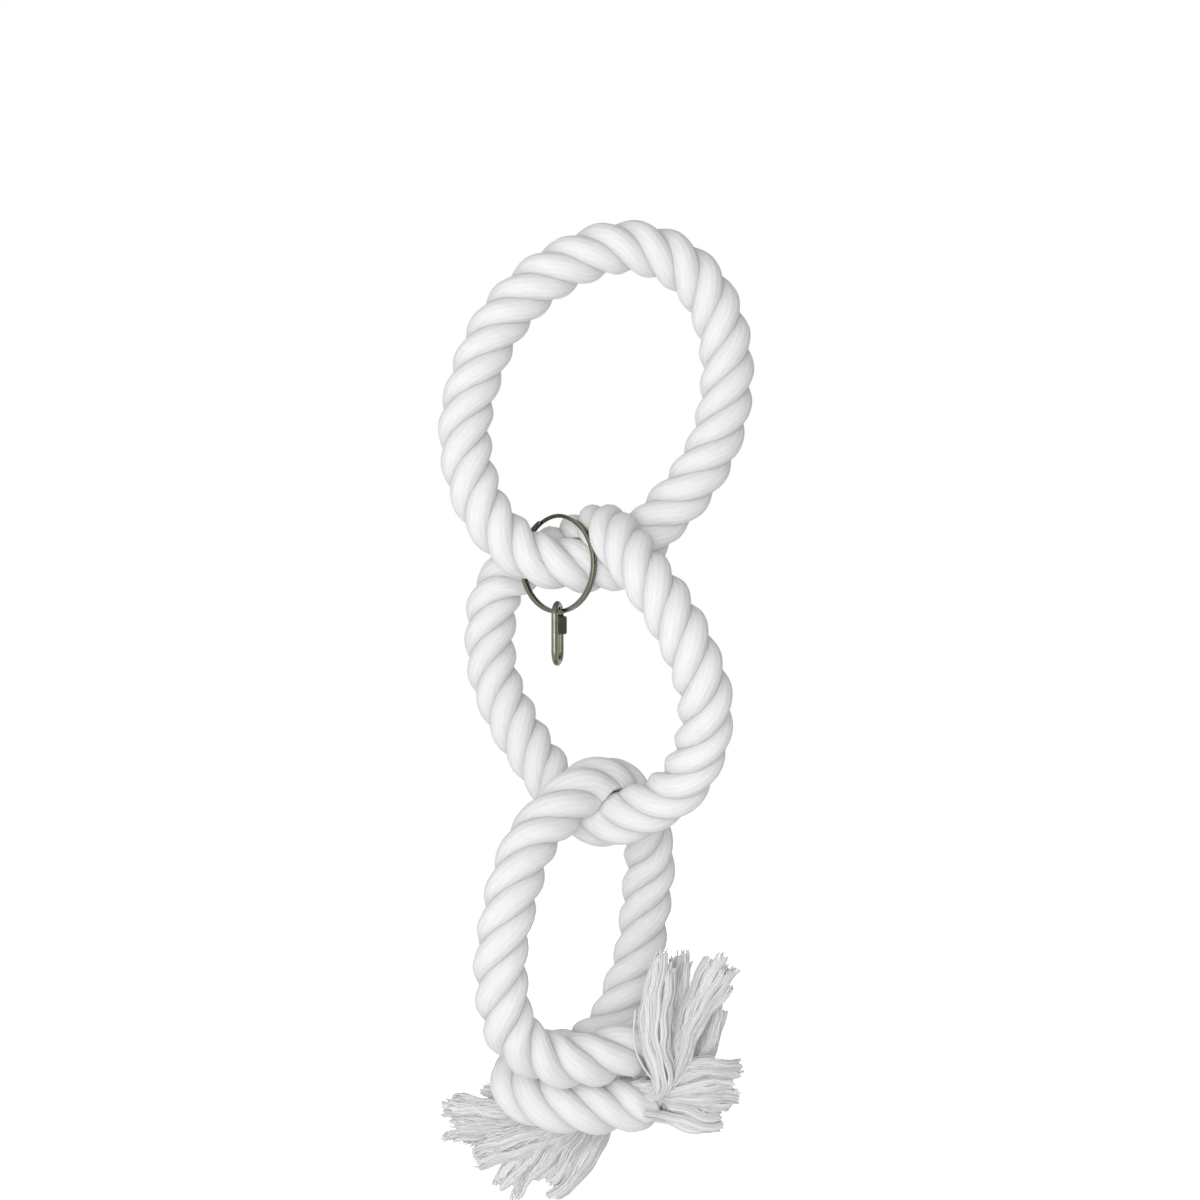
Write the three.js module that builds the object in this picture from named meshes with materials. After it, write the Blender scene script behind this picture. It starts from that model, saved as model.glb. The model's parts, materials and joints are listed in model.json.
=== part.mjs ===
// Hanging bird toy: three linked rings of laid cotton rope, the last one tied in a half knot with frayed
// ends, and a split ring with a quick link on the top ring. Millimetres, +Z up, +Y away from the viewer.
// The origin is where a peg carries the top ring, at the underside of its highest stretch.
import * as THREE from 'three';

// Rope
const ROPE_DIAMETER = 27;
const STRANDS = 3;
const LAY_LENGTH = 50;
const TIED_TURNS = 11.42;
const STRAND_HEIGHT_SHARE = 0.411;
const STRAND_GAP = 1.15;
const LAY_SLACK = 0.97;
const STRAND_SIDES = 7;
const STEPS_PER_TURN = 9;
const SEAT_GAP = 0.35;
const DENT_RELIEF = 0.3;
const CARRIER_STEPS = 400;

// Split ring, two turns of flat wire
const SPLIT_RING_BORE = 45;
const SPLIT_WIRE_HEIGHT = 2;
const SPLIT_WIRE_WIDTH = 1.2;
const SPLIT_COIL_GAP = 0.5;
const SPLIT_RING_YAW = 49;
const SPLIT_RING_PLACE = 0.519;

// Quick link
const LINK_WIRE = 3.2;
const LINK_WIDTH = 15;
const LINK_LENGTH = 32;
const LINK_YAW = 167;
const LINK_MOUTH = 5;
const LINK_MOUTH_RISE = 4;
const LINK_HANG_GAP = 1.15;
const NUT_SIDES = 6;
const NUT_ACROSS_FLATS = 5.6;
const NUT_LENGTH = 9;
const NUT_CLEARANCE = 0.4;

// Frayed ends
const LOCK_RIDGES = 6;
const LOCK_STEPS = 8;
const LOCK_WIDTH = 22;
const LOCK_THICKNESS = 12;
const LOCK_RAGGED = 4;

// Routes of the rope's middle line, chosen by eye to follow the rings round each other.
const TOP_ROUTE = [
  [2, 0, 14], [26, 0, 8], [43, 0, -8], [52, 0, -32], [53, 0, -56], [48, 0, -80], [36, 0, -102],
  [20, 4, -120], [2, 7, -140], [-23, 1, -142], [-46, 0, -136], [-64, 0, -118], [-73, 0, -96],
  [-75, 0, -72], [-69, 0, -47], [-59, 0, -25], [-42, 0, -6], [-22, 0, 7],
];
const MIDDLE_ROUTE = [
  [10, -30, -144], [22, -37, -161], [33, -42, -182], [40, -41, -204], [39, -34, -227], [29, -24, -248],
  [14, -14, -259], [-7, -1, -267], [-26, 16, -257], [-40, 26, -240], [-52, 32, -222], [-62, 37, -200],
  [-65, 39, -178], [-61, 38, -154], [-49, 36, -142], [-28, 29, -133], [-11, 10, -124.5], [-1, -14, -129],
];
const BOTTOM_ROUTE = [
  [25, -11, -401], [2, -5, -407], [-20, -5, -408], [-38, -2, -405], [-51, 9, -399], [-48, 23, -394],
  [-33, 31, -390], [-17, 33, -386], [-4, 37, -376], [4, 40, -360], [10, 42, -343], [13, 43, -325],
  [15, 43, -306], [16, 39, -288], [12, 30, -271], [6, 21, -258], [-5, 6, -249], [-18, -10, -251],
  [-29, -20, -260], [-41, -27, -273], [-48, -33, -289], [-53, -37, -309], [-56, -37, -328],
  [-55, -34, -349], [-50, -29, -366], [-34, -24, -377], [-15, -20, -378], [3, -11, -375], [14, 4, -377],
  [19, 19, -388], [13, 32, -402], [1, 36, -412],
];

// Where the frayed locks of each end reach to.
const RIGHT_TIPS = [[29, -22, -334], [55, -18, -412], [58, -16, -352]];
const LEFT_TIPS = [[-84, 20, -421], [-56, 24, -450], [-12, 18, -447]];

// Sizes that follow from the ones above
const ropeRadius = ROPE_DIAMETER / 2;
const strandHeight = ropeRadius * STRAND_HEIGHT_SHARE;
const strandCentre = ropeRadius - strandHeight;
const dentRadius = ropeRadius + SEAT_GAP + DENT_RELIEF;
const FAR = new THREE.Vector3(0, 0, 10000);
const degrees = THREE.MathUtils.degToRad;

const cotton = new THREE.MeshStandardMaterial({ color: '#f0efec', roughness: 0.95, metalness: 0 });
const frayedCotton = new THREE.MeshStandardMaterial({ color: '#dcdbd7', roughness: 1, metalness: 0 });
const nickel = new THREE.MeshStandardMaterial({ color: '#b9b9b0', roughness: 0.25, metalness: 1 });
const darkNickel = new THREE.MeshStandardMaterial({ color: '#8d8d80', roughness: 0.3, metalness: 1 });

const toy = new THREE.Group();

function addMesh(name, geometry, material) {
  const mesh = new THREE.Mesh(geometry, material);
  mesh.name = name;
  toy.add(mesh);
  return mesh;
}

function asPoint(values) {
  return new THREE.Vector3(...values);
}

// A closed skin over rings of points that follow one another; an open row of rings gets end caps.
function skin(rings, closed) {
  const sides = rings[0].length;
  const points = rings.flat();
  const faces = [];
  const spans = closed ? rings.length : rings.length - 1;
  for (let i = 0; i < spans; i += 1) {
    const here = i * sides;
    const next = ((i + 1) % rings.length) * sides;
    for (let j = 0; j < sides; j += 1) {
      const k = (j + 1) % sides;
      faces.push(here + j, here + k, next + k, here + j, next + k, next + j);
    }
  }
  if (!closed) {
    const last = (rings.length - 1) * sides;
    const middle = (ring) => ring.reduce((sum, p) => sum.add(p), new THREE.Vector3()).divideScalar(sides);
    points.push(middle(rings[0]), middle(rings.at(-1)));
    for (let j = 0; j < sides; j += 1) {
      const k = (j + 1) % sides;
      faces.push(points.length - 2, k, j, points.length - 1, last + j, last + k);
    }
  }
  const geometry = new THREE.BufferGeometry().setFromPoints(points);
  geometry.setIndex(faces);
  geometry.computeVertexNormals();
  return geometry;
}

// One ring of points: an ellipse about a centre.
function ellipseRing(centre, out, side, height, width, sides) {
  return Array.from({ length: sides }, (_, j) => {
    const turn = (2 * Math.PI * j) / sides;
    return centre.clone()
      .addScaledVector(out, height * Math.cos(turn))
      .addScaledVector(side, width * Math.sin(turn));
  });
}

function makeRoute(points, closed) {
  const route = new THREE.CatmullRomCurve3(points.map(asPoint), closed, 'centripetal');
  route.arcLengthDivisions = 600;
  return route;
}

// Moves a point of a soft strand out of the round of the rope that carries it, with the seat's gap between.
function pressOff(point, carrier) {
  const nearest = carrier.reduce((best, p) => (p.distanceTo(point) < best.distanceTo(point) ? p : best), FAR);
  const away = point.clone().sub(nearest);
  if (away.length() < dentRadius) {
    point.copy(nearest).addScaledVector(away.normalize(), dentRadius);
  }
}

// The strands of a laid rope along a route. Each strand winds right-handed about the route, and is
// narrower on the inside of a bend, where the lay closes up, so that it keeps its gap to the next one.
// Where the rope hooks over the one that carries it, its strands are pressed flat against that one.
function layRope(route, closed, carrier) {
  const length = route.getLength();
  const turns = closed ? Math.round(length / LAY_LENGTH) : TIED_TURNS;
  const steps = Math.round(turns * STEPS_PER_TURN);
  const lay = length / turns;
  const frames = route.computeFrenetFrames(steps, closed);
  const count = closed ? steps : steps + 1;
  const middle = Array.from({ length: count }, (_, i) => route.getPointAt(i / steps));
  const wrap = (i) => (closed ? (i + count) % count : THREE.MathUtils.clamp(i, 0, count - 1));
  return Array.from({ length: STRANDS }, (_, strand) => {
    const outs = middle.map((_, i) => {
      const turn = 2 * Math.PI * ((turns * i) / steps + strand / STRANDS);
      return frames.normals[i].clone().multiplyScalar(Math.cos(turn))
        .addScaledVector(frames.binormals[i], Math.sin(turn));
    });
    const centres = middle.map((point, i) => point.clone().addScaledVector(outs[i], strandCentre));
    const rings = [];
    let start;
    let end;
    for (let i = 0; i < count; i += 1) {
      const before = wrap(i - 1);
      const after = wrap(i + 1);
      const along = centres[after].clone().sub(centres[before]).normalize();
      const out = outs[i].clone().addScaledVector(along, -outs[i].dot(along)).normalize();
      const side = along.clone().cross(out);
      const bend = frames.tangents[after].clone().sub(frames.tangents[before]);
      const run = middle[after].distanceTo(middle[before]);
      const stretch = THREE.MathUtils.clamp(1 - (strandCentre * bend.dot(outs[i])) / run, 0.3, 1.3);
      const pace = (lay / STRANDS) * stretch;
      const slant = Math.atan2(2 * Math.PI * strandCentre, lay * stretch);
      const room = LAY_SLACK * pace * Math.sin(slant) - STRAND_GAP;
      const ring = ellipseRing(centres[i], out, side, strandHeight, room / 2, STRAND_SIDES);
      ring.forEach((point) => pressOff(point, carrier));
      rings.push(ring);
      end = { centre: centres[i], along, out, side, height: strandHeight, width: room / 2 };
      if (i === 0) {
        start = { ...end, along: along.clone().negate(), side: side.clone().negate() };
      }
    }
    return { geometry: skin(rings, closed), start, end };
  });
}

// A frayed lock that goes on from a strand's end, spreads flat and ends ragged, with a ridge for each yarn.
function frayLock(from, tip) {
  const sides = LOCK_RIDGES * 2;
  const root = from.centre.clone().addScaledVector(from.along, SEAT_GAP);
  const reach = root.distanceTo(tip);
  const leave = root.clone().addScaledVector(from.along, reach * 0.25);
  const arrive = tip.clone().lerp(leave, 0.4);
  const path = new THREE.CubicBezierCurve3(root, leave, arrive, tip);
  let out = from.out.clone();
  const rings = [];
  for (let i = 0; i <= LOCK_STEPS; i += 1) {
    const t = i / LOCK_STEPS;
    const along = i === 0 ? from.along.clone() : path.getTangentAt(t);
    out = out.addScaledVector(along, -out.dot(along)).normalize();
    const side = along.clone().cross(out);
    const spread = THREE.MathUtils.smoothstep(t, 0.1, 1);
    const height = THREE.MathUtils.lerp(from.height, LOCK_THICKNESS / 2, spread);
    const width = THREE.MathUtils.lerp(from.width, LOCK_WIDTH / 2, spread);
    const middle = path.getPointAt(t);
    const ring = ellipseRing(middle, out, side, height, width, sides);
    ring.forEach((point, j) => {
      const ridge = j % 2 === 0 ? 0 : 0.12 + 0.1 * spread;
      point.lerp(middle, i === 0 ? 0 : ridge);
      if (i === LOCK_STEPS) {
        point.addScaledVector(along, -LOCK_RAGGED * (0.5 + 0.5 * Math.sin(2.4 * j)));
      }
    });
    rings.push(ring);
  }
  return skin(rings, false);
}

function addRope(name, route, closed, carrier) {
  const strands = layRope(route, closed, carrier);
  strands.forEach((strand, i) => addMesh(`${name}_strand_${i + 1}`, strand.geometry, cotton));
  return strands;
}

// Each tip gets the strand whose end lies nearest to it, in the order the tips are listed.
function addLocks(name, ends, tips) {
  const free = [...ends];
  tips.forEach((values, i) => {
    const tip = asPoint(values);
    free.sort((a, b) => a.centre.distanceTo(tip) - b.centre.distanceTo(tip));
    addMesh(`${name}_lock_${i + 1}`, frayLock(free.shift(), tip), frayedCotton);
  });
}

// Two turns of flat wire side by side, with a step from one to the other between the wire's two ends.
function addSplitRing(centre, axis) {
  const up = new THREE.Vector3(0, 0, 1);
  const across = axis.clone().cross(up).normalize();
  const radius = (SPLIT_RING_BORE + SPLIT_WIRE_HEIGHT) / 2;
  const pitch = SPLIT_WIRE_WIDTH + SPLIT_COIL_GAP;
  const step = 0.45;
  const turnSteps = 28;
  const endSteps = 2;
  const outline = [[1, 0.5], [0.6, 1], [-0.6, 1], [-1, 0.5], [-1, -0.5], [-0.6, -1], [0.6, -1], [1, -0.5]];
  const coil = Array.from({ length: 2 * (turnSteps - endSteps) + 1 }, (_, i) => {
    const turn = (2 * Math.PI * (i + endSteps)) / turnSteps;
    const rise = THREE.MathUtils.smoothstep(turn, 2 * Math.PI - step, 2 * Math.PI + step) - 0.5;
    const out = up.clone().multiplyScalar(Math.cos(turn)).addScaledVector(across, -Math.sin(turn));
    const middle = centre.clone().addScaledVector(out, radius).addScaledVector(axis, pitch * rise);
    return { middle, out };
  });
  const rings = coil.map(({ middle, out }) => outline.map(([h, w]) => middle.clone()
    .addScaledVector(out, (h * SPLIT_WIRE_HEIGHT) / 2)
    .addScaledVector(axis, (w * SPLIT_WIRE_WIDTH) / 2)));
  const gaps = rings.flatMap((ring, i) => rings.slice(i + turnSteps / 2)
    .flatMap((other) => ring.flatMap((a) => other.map((b) => a.distanceTo(b)))));
  console.log(`split ring: least gap between turns ${gaps.reduce((a, b) => Math.min(a, b)).toFixed(2)} mm`);
  addMesh('split_ring', skin(rings, false), nickel);
}

// An oval of round wire with a mouth in one long leg, and the six-sided sleeve nut that closes the mouth.
// The link hangs plumb, so its heavier nut side is nearer to the split ring's wire.
function addQuickLink(top, yaw) {
  const bow = (LINK_WIDTH - LINK_WIRE) / 2;
  const leg = LINK_LENGTH - LINK_WIDTH;
  const bowSteps = 10;
  const mouthTop = LINK_MOUTH_RISE + LINK_MOUTH / 2;
  const mouthFoot = LINK_MOUTH_RISE - LINK_MOUTH / 2;
  const path = [[-bow, mouthTop], [-bow, (mouthTop + leg / 2) / 2]];
  for (let i = 0; i <= bowSteps; i += 1) {
    const turn = Math.PI - (Math.PI * i) / bowSteps;
    path.push([bow * Math.cos(turn), leg / 2 + bow * Math.sin(turn)]);
  }
  path.push([bow, 0]);
  for (let i = 0; i <= bowSteps; i += 1) {
    const turn = (-Math.PI * i) / bowSteps;
    path.push([bow * Math.cos(turn), -leg / 2 + bow * Math.sin(turn)]);
  }
  path.push([-bow, mouthFoot]);
  const points = path.map(([u, v]) => new THREE.Vector3(0, u, v));
  const face = new THREE.Vector3(1, 0, 0);
  const rings = points.map((point, i) => {
    const before = points[Math.max(0, i - 1)];
    const after = points[Math.min(points.length - 1, i + 1)];
    const along = after.clone().sub(before).normalize();
    return ellipseRing(point, face, along.clone().cross(face), LINK_WIRE / 2, LINK_WIRE / 2, 8);
  });
  const wireArea = Math.PI * (LINK_WIRE / 2) ** 2;
  const boreRadius = LINK_WIRE / 2 + NUT_CLEARANCE;
  const hexArea = (NUT_SIDES * NUT_ACROSS_FLATS ** 2 * Math.tan(Math.PI / NUT_SIDES)) / 4;
  const nutArea = hexArea - Math.PI * boreRadius ** 2;
  const nutVolume = nutArea * NUT_LENGTH;
  const bodyVolume = wireArea * (2 * Math.PI * bow + 2 * leg - LINK_MOUTH);
  const plumbShift = (bow * (nutVolume - wireArea * LINK_MOUTH)) / (nutVolume + bodyVolume);
  const link = new THREE.Group();
  link.rotation.z = yaw;
  link.position.set(top.x, top.y, top.z - LINK_LENGTH / 2);
  link.translateY(plumbShift);
  toy.add(link);
  link.add(addMesh('quick_link', skin(rings, false), nickel));

  const hex = new THREE.Shape();
  for (let i = 0; i < NUT_SIDES; i += 1) {
    const turn = (2 * Math.PI * i) / NUT_SIDES;
    const corner = NUT_ACROSS_FLATS / 2 / Math.cos(Math.PI / NUT_SIDES);
    const place = [corner * Math.cos(turn), corner * Math.sin(turn)];
    if (i === 0) {
      hex.moveTo(...place);
    } else {
      hex.lineTo(...place);
    }
  }
  hex.closePath();
  hex.holes.push(new THREE.Path().absarc(0, 0, boreRadius, 0, 2 * Math.PI, true));
  const sleeve = new THREE.ExtrudeGeometry(hex, { depth: NUT_LENGTH, bevelEnabled: false, curveSegments: 6 });
  const nut = addMesh('sleeve_nut', sleeve, darkNickel);
  nut.position.set(0, -bow, LINK_MOUTH_RISE - NUT_LENGTH / 2);
  link.add(nut);
}

const topRoute = makeRoute(TOP_ROUTE, true);
const middleRoute = makeRoute(MIDDLE_ROUTE, true);
const bottomRoute = makeRoute(BOTTOM_ROUTE, false);

addRope('top_ring', topRoute, true, []);
addRope('middle_ring', middleRoute, true, topRoute.getSpacedPoints(CARRIER_STEPS));
const tied = addRope('bottom_ring', bottomRoute, false, middleRoute.getSpacedPoints(CARRIER_STEPS));
addLocks('right_end', tied.map((strand) => strand.start), RIGHT_TIPS);
addLocks('left_end', tied.map((strand) => strand.end), LEFT_TIPS);

// The split ring is turned on the rope until its wire lies against both sides of it.
const splitCentre = topRoute.getPointAt(SPLIT_RING_PLACE);
const splitAxis = new THREE.Vector3(Math.cos(degrees(SPLIT_RING_YAW)), Math.sin(degrees(SPLIT_RING_YAW)), 0);
addSplitRing(splitCentre, splitAxis);
const hang = splitCentre.clone();
hang.z += LINK_WIRE + LINK_HANG_GAP - SPLIT_RING_BORE / 2;
addQuickLink(hang, degrees(LINK_YAW));

export default toy;
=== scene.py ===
"""Looks of a hanging bird toy: three linked rings of laid cotton rope, a split ring and a quick link."""
import json
import math
import random

import bmesh
import bpy
import numpy as np
from bpy.props import FloatProperty, FloatVectorProperty, IntProperty, PointerProperty
from mathutils import Matrix, Quaternion, Vector


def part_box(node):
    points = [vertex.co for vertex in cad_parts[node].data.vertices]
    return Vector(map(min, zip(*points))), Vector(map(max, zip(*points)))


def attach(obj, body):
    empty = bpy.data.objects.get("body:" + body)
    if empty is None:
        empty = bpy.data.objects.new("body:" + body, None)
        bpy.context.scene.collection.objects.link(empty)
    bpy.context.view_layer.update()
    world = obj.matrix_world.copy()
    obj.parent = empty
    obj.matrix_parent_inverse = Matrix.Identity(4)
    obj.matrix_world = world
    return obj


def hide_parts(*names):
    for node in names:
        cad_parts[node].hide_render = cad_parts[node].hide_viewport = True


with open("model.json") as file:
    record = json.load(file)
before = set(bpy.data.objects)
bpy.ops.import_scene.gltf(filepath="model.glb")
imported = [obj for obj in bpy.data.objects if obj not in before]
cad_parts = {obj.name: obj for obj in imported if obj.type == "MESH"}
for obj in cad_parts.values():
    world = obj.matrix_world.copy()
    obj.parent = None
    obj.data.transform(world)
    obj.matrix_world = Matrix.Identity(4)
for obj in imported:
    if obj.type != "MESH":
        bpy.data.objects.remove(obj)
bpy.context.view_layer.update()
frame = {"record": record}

bl_info = {
    "name": "Rope Ring Bird Toy",
    "version": (1, 0, 0),
    "blender": (4, 5, 0),
    "location": "View3D > Sidebar > Rope Toy",
    "description": "Dresses the packed rope ring toy in cotton and nickel, and sets its studio",
    "category": "Object",
}

# Middle lines of the rope, in millimetres, as the solids have them, except that the two passes at the
# front of the knot settle up to 2.5 mm towards each other, as soft rope does.
TOP_ROUTE = (
    (2, 0, 14), (26, 0, 8), (43, 0, -8), (52, 0, -32), (53, 0, -56), (48, 0, -80), (36, 0, -102),
    (20, 4, -120), (2, 7, -140), (-23, 1, -142), (-46, 0, -136), (-64, 0, -118), (-73, 0, -96),
    (-75, 0, -72), (-69, 0, -47), (-59, 0, -25), (-42, 0, -6), (-22, 0, 7),
)
MIDDLE_ROUTE = (
    (10, -30, -144), (22, -37, -161), (33, -42, -182), (40, -41, -204), (39, -34, -227), (29, -24, -248),
    (14, -14, -259), (-7, -1, -267), (-26, 16, -257), (-40, 26, -240), (-52, 32, -222), (-62, 37, -200),
    (-65, 39, -178), (-61, 38, -154), (-49, 36, -142), (-28, 29, -133), (-11, 10, -124.5), (-1, -14, -129),
)
BOTTOM_ROUTE = (
    (25, -11, -401), (2, -6, -405), (-20, -6, -406), (-38, -2, -404.5), (-51, 9, -399), (-48, 23, -394),
    (-33, 31, -390), (-17, 33, -386), (-4, 37, -376), (4, 40, -360), (10, 42, -343), (13, 43, -325),
    (15, 43, -306), (16, 39, -288), (12, 30, -271), (6, 21, -258), (-5, 6, -249), (-18, -10, -251),
    (-29, -20, -260), (-41, -27, -273), (-48, -33, -289), (-53, -37, -309), (-56, -37, -328),
    (-55, -34, -349), (-50, -29, -366), (-34, -24, -378), (-15, -19.5, -380), (3, -11, -377),
    (14, 4, -377.5), (19, 19, -388), (13, 32, -402), (1, 36, -412),
)
# Turns that the strands make along each ring.
RING_TURNS = 9
TIED_TURNS = 11.42
MM = 0.001
TURN = 2 * math.pi


def colour(hex_text):
    """An sRGB hex colour as linear red, green and blue."""
    parts = [int(hex_text[i:i + 2], 16) / 255 for i in (1, 3, 5)]
    return tuple(p / 12.92 if p <= 0.04045 else ((p + 0.055) / 1.055) ** 2.4 for p in parts)


def length_prop(name, description, default):
    return FloatProperty(name=name, description=description, default=default, unit="LENGTH", precision=5)


def colour_prop(name, description, default):
    return FloatVectorProperty(name=name, description=description, default=colour(default),
                               subtype="COLOR", size=3, min=0.0, max=1.0)


class RopeSettings(bpy.types.PropertyGroup):
    """Sizes and colours of the laid rope"""
    diameter: length_prop("Diameter", "Rope thickness over the crests of its strands", 27 * MM)
    strand: length_prop("Strand radius", "Roundness of a strand's outer face", 8.7 * MM)
    hollow: length_prop("Hollow", "Room that a hook keeps round the middle of the rope it hangs on",
                        13.7 * MM)
    dent: length_prop("Dent", "Room that a rope keeps round the middle of the split ring's wire", 1.8 * MM)
    press: length_prop("Press", "How far from another rope's middle the grooves start to close", 22 * MM)
    unlaid: length_prop("Unlaid", "Length of the tied rope that is frayed before each of its ends", 5 * MM)
    taper: length_prop("Taper", "Length over which a strand thins before it frays", 8 * MM)
    yarn_depth: length_prop("Yarn relief", "Height of the yarns on a strand's surface", 0.22 * MM)
    yarns: IntProperty(name="Yarns seen", description="Yarns side by side on a strand's face",
                       default=7, min=2)
    step: length_prop("Step", "Length of one mesh face along the rope", 0.75 * MM)
    white: colour_prop("Cotton", "Bleached cotton on the crests", "#F4F4F3")
    # The cotton shade colour is painted shade, slightly cool, for the grooves and the gaps between the
    # yarns.
    shade: colour_prop("Cotton shade", "Cotton in the grooves and between the yarns", "#CBCDD1")


class FraySettings(bpy.types.PropertyGroup):
    """Sizes and colours of the unlaid rope ends"""
    yarn: length_prop("Yarn radius", "Half the thickness of an unlaid yarn", 0.45 * MM)
    fibre: length_prop("Fibre radius", "Half the thickness of a loose thread", 0.2 * MM)
    yarns: IntProperty(name="Yarns", description="Yarns on one ribbon of a lock", default=20, min=1)
    fibres: IntProperty(name="Loose threads", description="Loose threads on one ribbon", default=4, min=0)
    pale: colour_prop("Pale yarn", "The lightest yarns", "#F4F4F3")
    grey: colour_prop("Grey yarn", "The dullest yarns", "#CACACC")


class HardwareSettings(bpy.types.PropertyGroup):
    """Sizes and colours of the split ring, the quick link and its nut"""
    ring_bore: length_prop("Split ring bore", "Inside width of the split ring", 45 * MM)
    ring_yaw: FloatProperty(name="Ring turn", default=math.radians(49), subtype="ANGLE",
                            description="Turn of the split ring's axis from the rope's bar")
    ring_height: length_prop("Ring wire height", "Ring wire from bore to rim", 2 * MM)
    ring_width: length_prop("Ring wire width", "Thickness of one turn of the ring", 1.2 * MM)
    ring_gap: length_prop("Turn gap", "Gap between the two turns of the ring", 0.5 * MM)
    link_wire: length_prop("Link wire", "Thickness of the quick link's wire", 3.2 * MM)
    link_width: length_prop("Link width", "Outside width of the quick link", 15 * MM)
    link_length: length_prop("Link length", "Outside length of the quick link", 32 * MM)
    link_yaw: FloatProperty(name="Link turn", description="Turn of the link about its length",
                            default=math.radians(167), subtype="ANGLE")
    mouth: length_prop("Mouth", "Length of the gap in the link's leg", 5 * MM)
    mouth_rise: length_prop("Mouth rise", "Height of the mouth's middle over the link's middle", 4 * MM)
    nut_flats: length_prop("Nut across flats", "Sleeve nut's width over two flats", 5.6 * MM)
    nut_length: length_prop("Nut length", "Length of the sleeve nut", 9 * MM)
    nut_clearance: length_prop("Nut clearance", "Room between the nut's bore and the wire", 0.4 * MM)
    # Both plating colours are darker than bare nickel: a painted reflection of darker surroundings, as the
    # plating here mirrors a white studio.
    nickel: colour_prop("Nickel", "Plated wire", "#7B7A6C")
    dark_nickel: colour_prop("Dark nickel", "Plated sleeve nut", "#4E4D41")


class StageSettings(bpy.types.PropertyGroup):
    """Camera, lights and backdrop"""
    eye: FloatVectorProperty(name="Camera place", description="Where the camera stands",
                             default=(-0.009, -1.0, -0.159), subtype="TRANSLATION", unit="LENGTH")
    view_angle: FloatProperty(name="View angle", description="Angle that the square frame takes in",
                              default=2 * math.atan(0.294), subtype="ANGLE")
    floor_drop: length_prop("Floor drop", "How far the floor lies under the origin", 0.53)
    key: FloatProperty(name="Key light", description="Power of the front light", default=10.8, unit="POWER")
    fill: FloatProperty(name="Fill light", description="Power of the side light", default=3.0, unit="POWER")
    back: FloatProperty(name="Back light", description="Power of the light from behind", default=6.0,
                        unit="POWER")
    ambient: FloatProperty(name="Ambient", description="Strength of the even light all round", default=0.39)
    paper: colour_prop("Backdrop", "White paper of the floor and backdrop", "#FFFFFF")


def add_node(tree, kind, inputs=None, **settings):
    """Add a node, set its own settings, and fill its inputs with values or links."""
    node = tree.nodes.new(kind)
    for key, value in settings.items():
        setattr(node, key, value)
    for key, value in (inputs or {}).items():
        if isinstance(value, bpy.types.NodeSocket):
            tree.links.new(value, node.inputs[key])
        else:
            node.inputs[key].default_value = value
    return node


def start_material(name):
    """A new material and its node tree, still empty."""
    material = bpy.data.materials.new(name)
    material.use_nodes = True
    material.node_tree.nodes.clear()
    return material, material.node_tree


def opaque(rgb):
    """A colour with full alpha, as a node's socket takes it."""
    return (*rgb, 1.0)


def add_noise(tree, size, detail):
    """A socket with cloudy noise of a size in metres, fixed to the piece."""
    place = add_node(tree, "ShaderNodeTexCoord")
    return add_node(tree, "ShaderNodeTexNoise", {"Vector": place.outputs["Object"], "Scale": 1 / size,
                                                 "Detail": detail}).outputs["Fac"]


def mix_colours(tree, factor, first, second, blend="MIX"):
    """A socket with a colour between two others."""
    return add_node(tree, "ShaderNodeMix", {"Factor": factor, "A": first, "B": second},
                    data_type="RGBA", blend_type=blend).outputs["Result"]


def seen_rays(tree):
    """A socket that is 1 for the eye's look and for looks by way of metal or glass, and 0 for light."""
    path = add_node(tree, "ShaderNodeLightPath")
    seen = path.outputs["Is Camera Ray"]
    for ray in ("Is Glossy Ray", "Is Transmission Ray"):
        seen = add_node(tree, "ShaderNodeMath", {0: seen, 1: path.outputs[ray]},
                        operation="MAXIMUM").outputs["Value"]
    return seen


def cotton_rope(rope):
    """Bleached cotton, spun and laid: matt, with a soft sheen, fine fibres along the yarns, and painted
    shade that makes the grooves and the gaps between the yarns slightly greyer and cooler."""
    material, tree = start_material("Laid cotton rope")
    uv = add_node(tree, "ShaderNodeUVMap", uv_map="strand")
    # Fibres 8 mm long and 0.5 mm apart: real ones are finer than a pixel of the render.
    stretch = add_node(tree, "ShaderNodeMapping",
                       {"Vector": uv.outputs["UV"], "Scale": (1 / (8 * MM), 1 / (0.5 * MM), 1)})
    fibres = add_node(tree, "ShaderNodeTexNoise",
                      {"Vector": stretch.outputs["Vector"], "Scale": 1.0, "Detail": 4.0, "Roughness": 0.6},
                      noise_dimensions="2D")
    # Soft patches about 25 mm across, where the bleach took unevenly.
    patches = add_noise(tree, 25 * MM, 2.0)
    # Painted shade: the groove attribute, with the fibre streaks, mixes the cotton towards its shade colour.
    groove = add_node(tree, "ShaderNodeAttribute", attribute_name="groove")
    worn = add_node(tree, "ShaderNodeMath", {0: fibres.outputs["Fac"], 1: 0.45}, operation="MULTIPLY")
    dull = add_node(tree, "ShaderNodeMath", {0: groove.outputs["Fac"], 1: 0.6, 2: worn.outputs["Value"]},
                    operation="MULTIPLY_ADD", use_clamp=True)
    tone = mix_colours(tree, dull.outputs["Value"], opaque(rope.white), opaque(rope.shade))
    warm = add_node(tree, "ShaderNodeMath", {0: patches, 1: 0.5}, operation="MULTIPLY")
    tint = mix_colours(tree, warm.outputs["Value"], tone, opaque(colour("#F6F6F2")), "MULTIPLY")
    relief = add_node(tree, "ShaderNodeBump",
                      {"Height": fibres.outputs["Fac"], "Strength": 0.5, "Distance": 0.3 * MM})
    cotton = add_node(tree, "ShaderNodeBsdfPrincipled",
                      {"Base Color": tint, "Normal": relief.outputs["Normal"],
                       "Roughness": 0.95, "Sheen Weight": 0.08, "Sheen Roughness": 0.6,
                       "Specular IOR Level": 0.2})
    add_node(tree, "ShaderNodeOutputMaterial", {"Surface": cotton.outputs["BSDF"]})
    return material


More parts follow.
